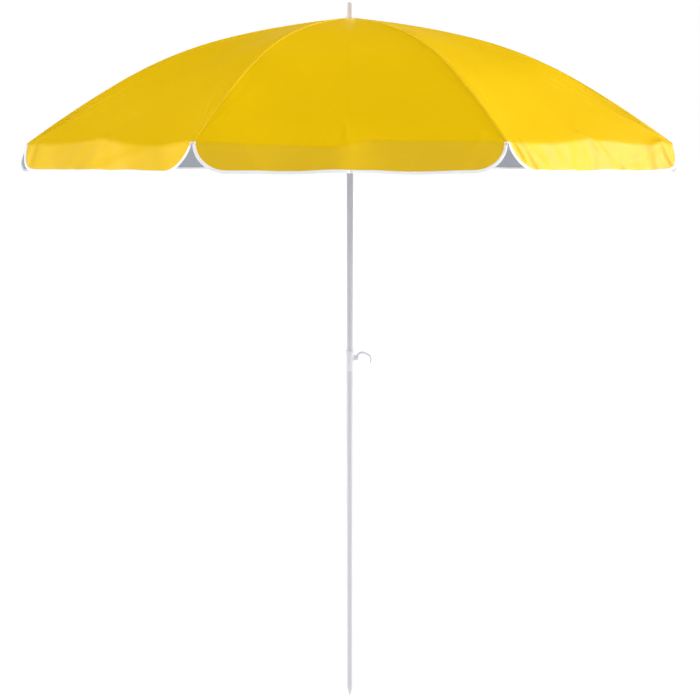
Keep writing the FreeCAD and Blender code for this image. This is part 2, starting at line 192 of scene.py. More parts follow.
# White polyester grosgrain tape, woven with a rib across its length, so its edge looks finely combed.
def grosgrainTape():
    material, tree = blankMaterial("grosgrainTape")
    place = addNode(tree, "ShaderNodeTexCoord")
    ribs = addNode(tree, "ShaderNodeTexWave", {"bands_direction": "X"},
                   {"Vector": place.outputs["UV"], "Scale": bandScale(0.0011), "Distortion": 0.3})
    soil = addNode(tree, "ShaderNodeTexNoise", None, {"Vector": place.outputs["Object"], "Scale": 22.0,
                                                      "Detail": 3.0})
    tint = addNode(tree, "ShaderNodeMix", {"data_type": "RGBA"},
                   {"Factor": soil.outputs["Fac"], 6: linear("F6F6F5"), 7: linear("EAEBEE")})
    bump = addNode(tree, "ShaderNodeBump", None, {"Height": ribs.outputs["Fac"], "Strength": 0.5,
                                                  "Distance": 0.0003})
    shader = addNode(tree, "ShaderNodeBsdfPrincipled", None,
                     {"Base Color": tint.outputs[2], "Roughness": 0.6, "Normal": bump.outputs["Normal"],
                      "Sheen Weight": 0.2, "Sheen Roughness": 0.5})
    addNode(tree, "ShaderNodeOutputMaterial", None, {"Surface": shader.outputs["BSDF"]})
    return material


# Spun polyester sewing thread: two plies twisted together, so each stitch has slanting ridges.
def spunThread(name, colour):
    material, tree = blankMaterial(name)
    place = addNode(tree, "ShaderNodeTexCoord")
    twist = addNode(tree, "ShaderNodeTexWave", {"bands_direction": "DIAGONAL"},
                    {"Vector": place.outputs["Object"], "Scale": bandScale(0.0006)})
    bump = addNode(tree, "ShaderNodeBump", None, {"Height": twist.outputs["Fac"], "Strength": 0.4,
                                                  "Distance": 0.0001})
    shader = addNode(tree, "ShaderNodeBsdfPrincipled", None,
                     {"Base Color": linear(colour), "Roughness": 0.5, "Normal": bump.outputs["Normal"],
                      "Sheen Weight": 0.3, "Sheen Roughness": 0.4})
    addNode(tree, "ShaderNodeOutputMaterial", None, {"Surface": shader.outputs["BSDF"]})
    return material


# Powder coated steel: sprayed, baked polyester enamel. It has a fine orange peel, a satin gloss and faint
# streaks along the tube, where the drawn steel shows through in its gloss.
def powderCoat(name, light, dark, roughness):
    material, tree = blankMaterial(name)
    place = addNode(tree, "ShaderNodeTexCoord")
    peel = addNode(tree, "ShaderNodeTexNoise", None, {"Vector": place.outputs["Object"], "Scale": 1 / 0.0016,
                                                      "Detail": 2.0})
    stretch = addNode(tree, "ShaderNodeMapping", None, {"Vector": place.outputs["Object"],
                                                        "Scale": (60.0, 60.0, 2.5)})
    drawn = addNode(tree, "ShaderNodeTexNoise", None, {"Vector": stretch.outputs["Vector"], "Scale": 1.0,
                                                       "Detail": 4.0})
    tint = addNode(tree, "ShaderNodeMix", {"data_type": "RGBA"},
                   {"Factor": drawn.outputs["Fac"], 6: linear(light), 7: linear(dark)})
    gloss = addNode(tree, "ShaderNodeMapRange", None,
                    {"Value": drawn.outputs["Fac"], "To Min": roughness - 0.06, "To Max": roughness + 0.08})
    bump = addNode(tree, "ShaderNodeBump", None, {"Height": peel.outputs["Fac"], "Strength": 0.12,
                                                  "Distance": 0.0003})
    shader = addNode(tree, "ShaderNodeBsdfPrincipled", None,
                     {"Base Color": tint.outputs[2], "Roughness": gloss.outputs["Result"],
                      "Normal": bump.outputs["Normal"], "IOR": 1.5, "Coat Weight": 0.2,
                      "Coat Roughness": 0.2})
    addNode(tree, "ShaderNodeOutputMaterial", None, {"Surface": shader.outputs["BSDF"]})
    return material


# Zinc plated steel: electroplated and passivated, a bright bluish metal with cloudy gloss.
def zincPlate():
    material, tree = blankMaterial("zincPlate")
    place = addNode(tree, "ShaderNodeTexCoord")
    cloud = addNode(tree, "ShaderNodeTexNoise", None, {"Vector": place.outputs["Object"], "Scale": 1 / 0.004,
                                                       "Detail": 5.0})
    tint = addNode(tree, "ShaderNodeMix", {"data_type": "RGBA"},
                   {"Factor": cloud.outputs["Fac"], 6: linear("C6C9CC"), 7: linear("AEB1B4")})
    gloss = addNode(tree, "ShaderNodeMapRange", None,
                    {"Value": cloud.outputs["Fac"], "To Min": 0.26, "To Max": 0.44})
    shader = addNode(tree, "ShaderNodeBsdfPrincipled", None,
                     {"Base Color": tint.outputs[2], "Metallic": 1.0, "Roughness": gloss.outputs["Result"]})
    addNode(tree, "ShaderNodeOutputMaterial", None, {"Surface": shader.outputs["BSDF"]})
    return material


# Injection moulded polypropylene: milky white and waxy, a little light goes in at its edges, and the sparked
# mould leaves a very fine grain.
def mouldedPolypropylene():
    material, tree = blankMaterial("mouldedPolypropylene")
    place = addNode(tree, "ShaderNodeTexCoord")
    grain = addNode(tree, "ShaderNodeTexNoise", None, {"Vector": place.outputs["Object"], "Scale": 1 / 0.0009,
                                                       "Detail": 2.0})
    flow = addNode(tree, "ShaderNodeTexNoise", None, {"Vector": place.outputs["Object"], "Scale": 35.0,
                                                      "Detail": 3.0})
    tint = addNode(tree, "ShaderNodeMix", {"data_type": "RGBA"},
                   {"Factor": flow.outputs["Fac"], 6: linear("DFDFE3"), 7: linear("D4D4D9")})
    gloss = addNode(tree, "ShaderNodeMapRange", None,
                    {"Value": flow.outputs["Fac"], "To Min": 0.30, "To Max": 0.42})
    bump = addNode(tree, "ShaderNodeBump", None, {"Height": grain.outputs["Fac"], "Strength": 0.12,
                                                  "Distance": 0.0002})
    shader = addNode(tree, "ShaderNodeBsdfPrincipled", None,
                     {"Base Color": tint.outputs[2], "Roughness": gloss.outputs["Result"],
                      "Normal": bump.outputs["Normal"], "IOR": 1.49, "Subsurface Weight": 0.08,
                      "Subsurface Radius": (0.004, 0.004, 0.004), "Subsurface Scale": 0.5})
    addNode(tree, "ShaderNodeOutputMaterial", None, {"Surface": shader.outputs["BSDF"]})
    return material


materials = {
    "cloth": polyesterTaffeta(),
    "silver": silverCoating(),
    "tape": grosgrainTape(),
    "yellowThread": spunThread("yellowThread", "F4D024"),
    "whiteThread": spunThread("whiteThread", "F2F2F0"),
    "poleLower": powderCoat("lowerPolePowderCoat", "D0D0D3", "C6C6CA", 0.38),
    # the upper tube takes a darker copy of the same white powder coat: painted shade standing in for the
    # canopy's shadow on it
    "poleUpperPaintedShade": powderCoat("upperPowderCoatWithPaintedShade", "C9CACC", "BFC0C3", 0.38),
    "rod": powderCoat("ribPowderCoat", "D3D5D8", "C6C9CD", 0.32),
    "zinc": zincPlate(),
    "plastic": mouldedPolypropylene(),
}
print("materials made,", len(materials))

canopy = {
    "pivotReach": 0.018,
    "pivotHeight": joints["canopy_fold"]["pos_m"][2],
    # reach from the pole's axis in metres and slope in degrees where the arcs of a rib meet
    "ribBends": [(0.018, 6.0), (0.370, 15.5), (0.660, 31.0), (0.896, 36.5)],
    "hole": 0.0108,            # radius of the hole at the crown
    "reach": 0.902,            # from the pole's axis to the rim, along a rib
    "lift": 0.0046,            # the cloth's middle above the rib's centreline
    "crownLift": 0.0034,       # and a little more near the crown, to clear the hub
    "crownReach": 0.20,
    "thickness": 0.0006,
    "pastRim": 0.03,           # the profile runs on this far, for folds below the rim
    "profileSteps": 1500,
    "sag": 0.010,              # how far the middle of a panel is drawn in at the rim
    "sagFade": (-0.12, 0.08),  # lengths past the rim over which the sag ends
    "foldWidth": 0.016,        # length of the bend between the gore and the valance
    "valanceDepth": 0.074,
    "valanceFlare": 20.0,      # degrees from hanging straight down
    "hemLevel": 0.37,          # share of a fold's rise that the valance is cut shorter by, for a level hem
    "cornerWidth": 0.078,
    "ribRound": 0.006,         # half the width over which the cloth turns over a rib
    "ribRoundEnd": 0.02,       # length past the rim at which that turn is gone
    "seamWidth": 0.0042,       # half the flat-felled seam
    "seamFall": 0.0006,        # half the width over which its edge falls off
    "seamRise": 0.0010,
}
halfPanel = math.pi / ribCount
rimSide = canopy["reach"] * math.sin(halfPanel)
rimReach = canopy["reach"] * math.cos(halfPanel)


def ribAngle(number):
    return halfPanel + 2 * halfPanel * (number - 1)


def panelBefore(number):  # the panel on the other side of this rib
    return (number - 2) % ribCount + 1


# Down the middle of a panel, from the crown to a little past the rim: length past the rim (negative above
# it), reach from the pole's axis, height and slope. The sine of a rib's slope grows evenly with its reach.
def panelProfile():
    reach = np.linspace(canopy["hole"], canopy["reach"] + canopy["pastRim"], canopy["profileSteps"])
    bends, slopes = zip(*canopy["ribBends"])
    sine = np.interp(reach, bends, np.sin(np.radians(slopes)))
    fall = sine / np.sqrt(1 - sine ** 2)
    fallen = np.append(0.0, np.cumsum((fall[1:] + fall[:-1]) / 2 * np.diff(reach)))
    height = canopy["pivotHeight"] + np.interp(canopy["pivotReach"], reach, fallen) - fallen
    nearCrown = np.clip(1 - (reach - canopy["pivotReach"]) / canopy["crownReach"], 0, None)
    height += canopy["lift"] + canopy["crownLift"] * nearCrown ** 2
    out = reach * math.cos(halfPanel)
    length = np.append(0.0, np.cumsum(np.hypot(np.diff(out), np.diff(height))))
    slope = np.arctan2(-np.gradient(height), np.gradient(out))
    return length - np.interp(rimReach, out, length), out, height, slope


profile = panelProfile()
crownLength = profile[0][0]


def profileAt(length):
    return [np.interp(length, profile[0], column) for column in profile[1:]]


# What is particular to a panel, so that no two hang alike. tips: how strongly the cloth is folded at its left
# and right tip. ruffle: how crumpled the valance is. fold: the bend's rise above the rim, as (place from the
# left rib -1 to the right rib 1, rise in metres, width). creases: from (side, length) to (side,
# length), height and width. Side is the distance from the panel's middle at the rim, length past the rim.
panelMarks = {
    6: {"tips": (0.3, 0.25), "ruffle": 0.5,
        "fold": [(-0.50, -0.006, 0.34), (-0.10, -0.016, 0.16), (0.14, 0.013, 0.18), (0.5, 0.006, 0.3)],
        "creases": [((-0.012, -0.085), (-0.004, 0.012), 0.0022, 0.004),
                    ((-0.24, 0.010), (-0.20, 0.060), 0.0012, 0.010),
                    ((0.300, -0.030), (0.250, 0.055), 0.0018, 0.010)]},
    5: {"tips": (1.4, 0.4), "ruffle": 0.9,
        "fold": [(-0.16, 0.026, 0.30), (0.45, -0.008, 0.25)],
        "creases": [((-0.045, -0.030), (-0.110, 0.060), 0.0034, 0.016),
                    ((0.330, -0.004), (-0.020, 0.070), 0.0030, 0.018),
                    ((-0.300, -0.010), (-0.292, 0.060), 0.0040, 0.012)]},
    7: {"tips": (0.3, 1.5), "ruffle": 2.2,
        "fold": [(0.02, 0.018, 0.34), (-0.6, -0.003, 0.25)],
        "creases": [((-0.020, -0.045), (0.060, 0.060), 0.0036, 0.016),
                    ((0.300, -0.010), (0.100, 0.060), 0.0032, 0.014),
                    ((0.285, -0.004), (0.296, 0.060), 0.0036, 0.008),
                    ((-0.318, 0.002), (-0.300, 0.045), 0.0030, 0.006),
                    ((-0.290, 0.000), (-0.268, 0.060), 0.0026, 0.007)]},
}


seeds = {"marks": 40, "valanceWave": 20, "valanceRidge": 60}  # each panel's number is added


def marksOf(panel):
    dice = np.random.default_rng(seeds["marks"] + panel)
    plain = {"tips": (1.0, 1.0), "ruffle": 1.0,
             "fold": [(place, dice.uniform(-0.014, 0.018), 0.3) for place in (-0.45, 0.0, 0.45)],
             "creases": [((side, -0.02), (side + dice.uniform(-0.08, 0.08), 0.06),
                          dice.uniform(0.0015, 0.0035), dice.uniform(0.008, 0.018))
                         for side in (-0.27, -0.12, 0.05, 0.2, 0.3)]}
    return panelMarks.get(panel, plain)


# Soft hollows or, where sharp, ridges with a crest, from six crossed waves of about the same size. 0.64 is
# near the mean of a sine without its sign, so ridges stand out as much as they sink in.
def crossedWaves(x, y, size, seed, sharp=False):
    dice = np.random.default_rng(seed)
    total = 0.0
    for turn in np.linspace(0, math.pi, 7)[:-1] + dice.uniform(-0.3, 0.3, 6):
        spacing = size * dice.uniform(0.7, 1.5)
        wave = np.sin((x * math.cos(turn) + y * math.sin(turn)) * 2 * math.pi / spacing
                      + dice.uniform(0, 2 * math.pi))
        total = total + (0.64 - np.abs(wave) if sharp else wave)
    return total / 2.5


relief = {
    "ribHold": 0.012,       # distance from a rib within which the cloth lies close to it
    "rimFade": 0.012,       # length past the rim at which what belongs to the gore is gone
    "tipFold": 0.0046,      # tight folds that run from a rib's tip up along the rib
    "tipFoldStart": 0.05,   # distance from the tip at which they are full
    "tipFoldReach": 0.21,
    "tipFoldCount": 38.0,   # folds per radian round the tip, times 2 pi
    "tipFoldFan": (0.20, 0.22),  # radians from the rib to their middle, and half their spread
    "middleCrease": 0.0003,  # pressed in by the way the cloth was packed
    "middleWidth": 0.003,
    "crownFade": 0.3,       # the crease and the hollows grow over this length from the crown
    "hollow": 0.0022,
    "hollowSize": 0.30,
    "pucker": 0.00035,      # where the seam's thread pulls the cloth together
    "puckerPlace": (0.010, 0.009),  # distance from the rib, and half the width
    "puckerSpacing": 0.013,
    "valanceWave": 0.0030,
    "waveStart": -0.04,     # length past the rim, negative above it
    "waveSize": 0.20,
    "waveStretch": 0.4,     # the waves are drawn out down the valance
    "valanceRidge": 0.0016,
    "ridgeStart": (-0.03, 0.03),
    "ridgeSize": 0.15,
}


def alongSegment(side, length, start, end):  # distance from the straight line between two marks
    run = np.subtract(end, start)
    share = np.clip(((side - start[0]) * run[0] + (length - start[1]) * run[1]) / run.dot(run), 0, 1)
    return np.hypot(side - start[0] - share * run[0], length - start[1] - share * run[1])


# How far the cloth stands out along its normal. gap is the distance from the nearer rib.
def clothRelief(panel, side, length, gap, spread):
    marks = marksOf(panel)
    free = 1 - np.exp(-(gap / relief["ribHold"]) ** 2)
    above = 1 - smoothStep(0.0, relief["rimFade"], length)
    fanMiddle, fanSpread = relief["tipFoldFan"]
    puckerPlace, puckerWidth = relief["puckerPlace"]
    out = 0.0
    for hand, strength in zip((-1, 1), marks["tips"]):
        aside = (rimSide - hand * side) * spread
        distance = np.hypot(aside, np.minimum(length, 0))
        turn = np.arctan2(aside, np.maximum(-length, 1e-6))
        ridge = (0.5 + 0.5 * np.cos(relief["tipFoldCount"] * turn + panel * 1.9 + 0.8 * hand)) ** 2
        held = smoothStep(0.0, relief["tipFoldStart"], distance)
        held = held * np.exp(-(distance / relief["tipFoldReach"]) ** 2)
        fan = np.exp(-((turn - fanMiddle) / fanSpread) ** 2) * above
        out = out + relief["tipFold"] * strength * ridge * held * fan
    fromCrown = smoothStep(crownLength, crownLength + relief["crownFade"], length)
    crease = np.exp(-(side * spread / relief["middleWidth"]) ** 2)
    out = out + relief["middleCrease"] * crease * fromCrown * above
    hollows = crossedWaves(side * spread, length, relief["hollowSize"], panel)
    out = out + relief["hollow"] * hollows * fromCrown
    along = 2 * math.pi * length / relief["puckerSpacing"]
    near = np.exp(-((gap - puckerPlace) / puckerWidth) ** 2)
    out = out + relief["pucker"] * near * np.sin(along + 3 * np.sin(length * 23 + panel)) * above
    below = smoothStep(relief["waveStart"], canopy["valanceDepth"], length)
    wave = crossedWaves(side, length * relief["waveStretch"], relief["waveSize"],
                        seeds["valanceWave"] + panel)
    out = out + relief["valanceWave"] * below * wave
    ruffle = crossedWaves(side, length, relief["ridgeSize"], seeds["valanceRidge"] + panel, True)
    out = out + relief["valanceRidge"] * marks["ruffle"] * smoothStep(*relief["ridgeStart"], length) * ruffle
    for start, end, height, width in marks["creases"]:
        out = out + height * np.exp(-(alongSegment(side, length, start, end) / width) ** 2)
    edge, fall = canopy["seamWidth"], canopy["seamFall"]
    seam = canopy["seamRise"] * (1 - smoothStep(edge - fall, edge + fall, gap))
    return out * free + seam * above


# The cloth's middle surface. The slope follows the gore, bends over evenly and then hangs straight.
def clothAt(panel, side, length):
    side, length = np.broadcast_arrays(np.asarray(side, float), np.asarray(length, float))
    t = side / rimSide
    rise = sum(height * np.exp(-((t - place) / width) ** 2)
               for place, height, width in marksOf(panel)["fold"])
    rise = rise * (1 - t ** 8)  # none at the ribs
    bendStart = -rise - canopy["foldWidth"] / 2
    out, height, slope = profileAt(np.minimum(length, bendStart))
    radius = canopy["foldWidth"] / (math.radians(90 - canopy["valanceFlare"]) - slope)
    bent = slope + np.clip(length - bendStart, 0, canopy["foldWidth"]) / radius
    straight = np.maximum(length - bendStart - canopy["foldWidth"], 0)
    straight = straight * (1 - canopy["hemLevel"] * rise / canopy["valanceDepth"])
    out = out + radius * (np.sin(bent) - np.sin(slope)) + straight * np.cos(bent)
    height = height + radius * (np.cos(bent) - np.cos(slope)) - straight * np.sin(bent)
    spread = np.minimum(1.0, out / rimReach)
    gap = (rimSide - np.abs(side)) * spread
    sag = canopy["sag"] * spread * (1 - t ** 2) * (1 - smoothStep(*canopy["sagFade"], length))
    push = clothRelief(panel, side, length, gap, spread) - sag
    turn = halfPanel * np.sign(side) * np.exp(-(gap / canopy["ribRound"]) ** 2)
    turn = turn * (1 - smoothStep(0.0, canopy["ribRoundEnd"], length))
    point = [out + push * np.sin(bent) * np.cos(turn), side * spread + push * np.sin(bent) * np.sin(turn),
             height + push * np.cos(bent)]
    facing = ribAngle(panel) + halfPanel
    return np.stack([point[0] * math.cos(facing) - point[1] * math.sin(facing),
                     point[0] * math.sin(facing) + point[1] * math.cos(facing), point[2]], axis=-1)


def clothAbove(panel, side, length, above):  # a point over the cloth's middle surface, along its normal
    near = 0.0004
    side = np.asarray(side, float)
    down = clothAt(panel, side, length + near) - clothAt(panel, side, length - near)
    across = clothAt(panel, side + near, length) - clothAt(panel, side - near, length)
    normal = np.cross(down, across)
    normal /= np.linalg.norm(normal, axis=-1, keepdims=True)
    return clothAt(panel, side, length) + normal * np.asarray(above, float)[..., None]


def valanceEdge(side):  # how deep the valance hangs: level, with rounded corners
    past = np.clip((np.abs(side) - rimSide + canopy["cornerWidth"]) / canopy["cornerWidth"], 0, 1)
    return canopy["valanceDepth"] * np.sqrt(1 - past ** 2)


weaveGrid = {
    "seamColumns": [0.0, 0.0017, 0.0035, 0.0049, 0.0070],  # distances from the rib
    "seamMost": 0.35,       # near the crown the seam takes no more than this share of the half panel
    "cornerColumns": 18,
    "plainColumns": 34,
    "upperRows": 46,
    "lowerStart": -0.30,    # lengths past the rim at which the rows get closer
    "lowerRows": 50,
    "rimStart": -0.036,
    "rimRows": 12,
    "valanceRows": 24,
}


def gridRows():
    lowerStart, rimStart = weaveGrid["lowerStart"], weaveGrid["rimStart"]
    upper = np.linspace(crownLength, lowerStart, weaveGrid["upperRows"], endpoint=False)
    lower = np.linspace(lowerStart, rimStart, weaveGrid["lowerRows"], endpoint=False)
    rim = np.linspace(rimStart, 0.0, weaveGrid["rimRows"] + 1)
    return np.concatenate([upper, lower, rim])


def gridColumns():  # distances from the rib at the rim, to the panel's middle
    seam = weaveGrid["seamColumns"]
    turns = np.linspace(0, math.pi / 2, weaveGrid["cornerColumns"] + 1)[1:]
    corner = seam[-1] + (canopy["cornerWidth"] - seam[-1]) * (1 - np.cos(turns))
    plain = np.linspace(canopy["cornerWidth"], rimSide, weaveGrid["plainColumns"] + 1)[1:]
    return np.concatenate([seam, corner, plain])


# Half a panel, as side and length for every column and row. Beside the rib the columns keep their distance
# from it all the way up, so that the seam has one width, and lower down they end on the valance's edge.
def halfPanelGrid(hand):
    rows = gridRows()
    columns = gridColumns()
    spread = np.minimum(1.0, profileAt(rows)[0] / rimReach)
    seamCount = len(weaveGrid["seamColumns"])
    seamEdge = columns[seamCount - 1]
    seamShare = np.minimum(1.0, weaveGrid["seamMost"] * rimSide * spread / seamEdge) * seamEdge / spread
    away = np.where(columns[:, None] <= seamEdge, columns[:, None] / seamEdge * seamShare,
                    seamShare + (columns[:, None] - seamEdge) / (rimSide - seamEdge) * (rimSide - seamShare))
    gore = np.stack([rimSide - away, np.broadcast_to(rows, away.shape)], axis=-1)
    share = np.linspace(0, 1, weaveGrid["valanceRows"] + 1)[1:]
    below = rimSide - columns[:, None]
    valance = np.stack(np.broadcast_arrays(below, valanceEdge(below) * share), axis=-1)
    grid = np.concatenate([gore, valance], axis=1)
    grid[..., 0] *= hand
    return grid


# The cloth over one rib, sewn along it: the right half of the panel before the rib and the left half of the
# one after it. On the real umbrella these fold flat against the rib when it closes.
def canopySection(number):
    points = []
    flat = []
    index = {}
    faces = []
    rimRow = len(gridRows()) - 1
    for panel, hand in ((panelBefore(number), 1), (number, -1)):
        grid = halfPanelGrid(hand)
        places = clothAt(panel, grid[..., 0], grid[..., 1])
        columnCount, rowCount = grid.shape[:2]
        first = {}
        for i in range(columnCount):
            for j in range(rowCount):
                row = min(j, rimRow) if i == 0 else j  # the valance's corner starts in one point
                key = ("rib", row) if i == 0 else (hand, i, row)
                if key not in index:
                    index[key] = len(points)
                    points.append(places[i, row])
                first[i, j] = index[key]
        for i in range(columnCount - 1):
            for j in range(rowCount - 1):
                corners = [(i, j), (i, j + 1), (i + 1, j + 1), (i + 1, j)][::-hand]
                kept = {first[corner]: corner for corner in corners}
                if len(kept) > 2:
                    faces.append(list(kept))
                    flat += [grid[corner] for corner in kept.values()]
    data = makeMesh("canopySection" + str(number), points, faces, material=materials["cloth"])
    data.materials.append(materials["silver"])
    data.uv_layers.new(name="cloth").data.foreach_set("uv", np.ravel(flat))
    piece = makeObject(data.name, data)
    wall = piece.modifiers.new("wall", "SOLIDIFY")
    wall.thickness = canopy["thickness"]
    wall.offset = 0.0
    wall.material_offset = 1
    return bakeModifiers(piece)


sections = {number: canopySection(number) for number in ribNumbers}

tape = {
    "width": 0.0072,
    "thickness": 0.0006,
    "sectionStep": 0.0015,  # round the section from corner to corner, for its UV map
    # the folded tape in section: share of its width in from the cloth's edge, and share of its rise
    "section": [(1.0, 0.9), (0.6, 1.1), (0.15, 1.0), (-0.06, 0.5), (-0.06, -0.5), (0.15, -1.0), (0.6, -1.1),
                (1.0, -0.9)],
}


# The edge of half a valance from the notch to the panel's middle: where it is, and which way is inwards.
def valancePath(hand):
    side = rimSide - gridColumns()
    length = valanceEdge(side)
    run = np.stack([np.gradient(side), np.gradient(length)], axis=-1)
    run /= np.linalg.norm(run, axis=-1, keepdims=True)
    return side, length, -run[:, 1], run[:, 0]


def valanceBinding(number):
    points = []
    faces = []
    flat = []
    size = len(tape["section"])
    for panel, hand in ((panelBefore(number), 1), (number, -1)):
        side, length, inSide, inLength = valancePath(hand)
        rise = canopy["thickness"] / 2 + tape["thickness"]
        rings = []
        for inward, above in tape["section"]:
            depth = inward * tape["width"]
            rings.append(clothAbove(panel, hand * np.minimum(side + inSide * depth, rimSide),
                                    length + inLength * depth, np.full(len(side), above * rise)))
        rings = np.stack(rings, axis=1)
        steps = np.append(0.0, np.cumsum(np.linalg.norm(np.diff(rings[:, 2], axis=0), axis=-1)))
        start = len(points)
        points += list(rings.reshape(-1, 3))
        for i in range(len(rings) - 1):
            for k in range(size):
                corners = [(i, k), (i, k + 1), (i + 1, k + 1), (i + 1, k)][::hand]
                faces.append([start + a * size + b % size for a, b in corners])
                flat += [(steps[a], b * tape["sectionStep"]) for a, b in corners]
        for end, order in ((0, -hand), (len(rings) - 1, hand)):
            faces.append([start + end * size + k for k in range(size)][::order])
            flat += [(steps[end], k * tape["sectionStep"]) for k in range(size)][::order]
    data = makeMesh("valanceBinding" + str(number), points, faces, material=materials["tape"])
    data.uv_layers.new(name="tape").data.foreach_set("uv", np.ravel(flat))
    return makeObject(data.name, data)


bindings = {number: valanceBinding(number) for number in ribNumbers}
print("bindings made")

stitching = {
    "pitch": 0.0046,
    "length": 0.0036,
    "radius": 0.00046,
    "rise": 0.3,           # a stitch's middle is this share of its radius above the cloth
    "seamInset": 0.0030,   # rows of stitches each side of a rib's line
    "crownRows": 6,        # rows of the grid left free round the crown
    "hemInset": 0.72,      # as a share of the tape's width, from the cloth's edge
    "notchColumns": 4,     # columns of the grid left free at a notch
}
ties = {
    "places": [0.20, 0.44, 0.70],  # reach from the pole's axis
    "pitch": 0.0011,
    "wraps": 4,
    "radius": 0.0034,
    "thread": 0.0005,
    "rise": 0.0006,                # the loops take in the rib and the seam allowance over it
}


# Lays copies of a small thing along a path: rice-shaped stitches in line with it, or loops round it.
def threadTree(name, asLoops):
    tree = bpy.data.node_groups.new(name, "GeometryNodeTree")
    tree.interface.new_socket("Path", in_out="INPUT", socket_type="NodeSocketGeometry")
    for measure in ("Pitch", "Length", "Radius"):
        tree.interface.new_socket(measure, in_out="INPUT", socket_type="NodeSocketFloat")
    tree.interface.new_socket("Thread", in_out="INPUT", socket_type="NodeSocketMaterial")
    tree.interface.new_socket("Stitches", in_out="OUTPUT", socket_type="NodeSocketGeometry")
    given = addNode(tree, "NodeGroupInput")
    path = addNode(tree, "GeometryNodeMeshToCurve", None, {"Mesh": given.outputs["Path"]})
    spots = addNode(tree, "GeometryNodeResampleCurve", {"mode": "LENGTH"},
                    {"Curve": path.outputs["Curve"], "Length": given.outputs["Pitch"]})
    direction = addNode(tree, "GeometryNodeInputTangent")
    turn = addNode(tree, "FunctionNodeAlignRotationToVector", {"axis": "Z"},
                   {"Vector": direction.outputs["Tangent"]})
    if asLoops:
        loop = addNode(tree, "GeometryNodeCurvePrimitiveCircle", None,
                       {"Resolution": 14, "Radius": given.outputs["Length"]})
        strand = addNode(tree, "GeometryNodeCurvePrimitiveCircle", None,
                         {"Resolution": 5, "Radius": given.outputs["Radius"]})
        thing = addNode(tree, "GeometryNodeCurveToMesh", None,
                        {"Curve": loop.outputs["Curve"], "Profile Curve": strand.outputs["Curve"]})
    else:
        ball = addNode(tree, "GeometryNodeMeshUVSphere", None, {"Segments": 6, "Rings": 5, "Radius": 1.0})
        half = addNode(tree, "ShaderNodeMath", {"operation": "MULTIPLY"},
                       {0: given.outputs["Length"], 1: 0.5})
        scale = addNode(tree, "ShaderNodeCombineXYZ", None,
                        {"X": given.outputs["Radius"], "Y": given.outputs["Radius"], "Z": half.outputs[0]})
        thing = addNode(tree, "GeometryNodeTransform", None,
                        {"Geometry": ball.outputs["Mesh"], "Scale": scale.outputs["Vector"]})
    laid = addNode(tree, "GeometryNodeInstanceOnPoints", None,
                   {"Points": spots.outputs["Curve"], "Instance": thing.outputs[0],
                    "Rotation": turn.outputs["Rotation"]})
    real = addNode(tree, "GeometryNodeRealizeInstances", None, {"Geometry": laid.outputs["Instances"]})
    smooth = addNode(tree, "GeometryNodeSetShadeSmooth", None, {"Geometry": real.outputs["Geometry"]})
    painted = addNode(tree, "GeometryNodeSetMaterial", None,
                      {"Geometry": smooth.outputs["Geometry"], "Material": given.outputs["Thread"]})
    addNode(tree, "NodeGroupOutput", None, {"Stitches": painted.outputs["Geometry"]})
    return tree


stitchTree = threadTree("stitchesAlongPath", False)
tieTree = threadTree("loopsAlongPath", True)


def threadPiece(name, tree, paths, sizes, thread):
    edges = []
    first = 0
    for path in paths:
        edges += [(first + i, first + i + 1) for i in range(len(path) - 1)]
        first += len(path)
    piece = makeObject(name, makeMesh(name, np.concatenate(paths), edges=edges))
    layer = piece.modifiers.new("thread", "NODES")
    layer.node_group = tree
    given = {"Pitch": sizes[0], "Length": sizes[1], "Radius": sizes[2], "Thread": thread}
    for item in tree.interface.items_tree:
        if item.in_out == "INPUT" and item.name in given:
            layer[item.identifier] = given[item.name]
    return bakeModifiers(piece)


def seamPaths(number):  # one row each side of the rib, from the crown to the rim
    rows = gridRows()[stitching["crownRows"]:]
    spread = np.minimum(1.0, profileAt(rows)[0] / rimReach)
    side = rimSide - stitching["seamInset"] / spread
    above = np.full(len(rows), canopy["thickness"] / 2 + stitching["radius"] * stitching["rise"])
    return [clothAbove(panel, hand * side, rows, above)
            for panel, hand in ((panelBefore(number), 1), (number, -1))]


def hemPaths(number):  # along the inner edge of the binding
    paths = []
    for panel, hand in ((panelBefore(number), 1), (number, -1)):
        side, length, inSide, inLength = [line[stitching["notchColumns"]:] for line in valancePath(hand)]
        depth = tape["width"] * stitching["hemInset"]
        above = canopy["thickness"] / 2 + tape["thickness"] + stitching["radius"] * stitching["rise"]
        paths.append(clothAbove(panel, hand * (side + inSide * depth), length + inLength * depth,
                                np.full(len(side), above)))
    return paths


def tiePaths(number):  # a short run along the rib for each tie
    paths = []
    angle = ribAngle(number)
    halfRun = ties["pitch"] * (ties["wraps"] - 1) / 2
    for place in ties["places"]:
        reach = np.array([place - halfRun, place, place + halfRun])
        height = profileAt(np.interp(reach * math.cos(halfPanel), profile[1], profile[0]))[1]
        height = height - canopy["lift"] + ties["rise"]
        paths.append(np.stack([reach * math.cos(angle), reach * math.sin(angle), height], axis=-1))
    return paths


stitchSizes = (stitching["pitch"], stitching["length"], stitching["radius"])
tieSizes = (ties["pitch"], ties["radius"], ties["thread"])
seamStitches = {number: threadPiece("seamStitches" + str(number), stitchTree, seamPaths(number), stitchSizes,
                                    materials["yellowThread"]) for number in ribNumbers}
hemStitches = {number: threadPiece("hemStitches" + str(number), stitchTree, hemPaths(number), stitchSizes,
                                   materials["whiteThread"]) for number in ribNumbers}
ribTies = {number: threadPiece("ribTies" + str(number), tieTree, tiePaths(number), tieSizes,
                               materials["whiteThread"]) for number in ribNumbers}
print("stitches and ties made")

# Each section of cloth and its trim ride on its rib.
for number in ribNumbers:
    section = sections[number]
    trims = [bindings[number], seamStitches[number], hemStitches[number]]
    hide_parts("canopy_panel_" + str(number))
    for piece in [section] + trims:
        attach(piece, "rib_" + str(number))
        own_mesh(piece)
    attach(ribTies[number], "rib_" + str(number))

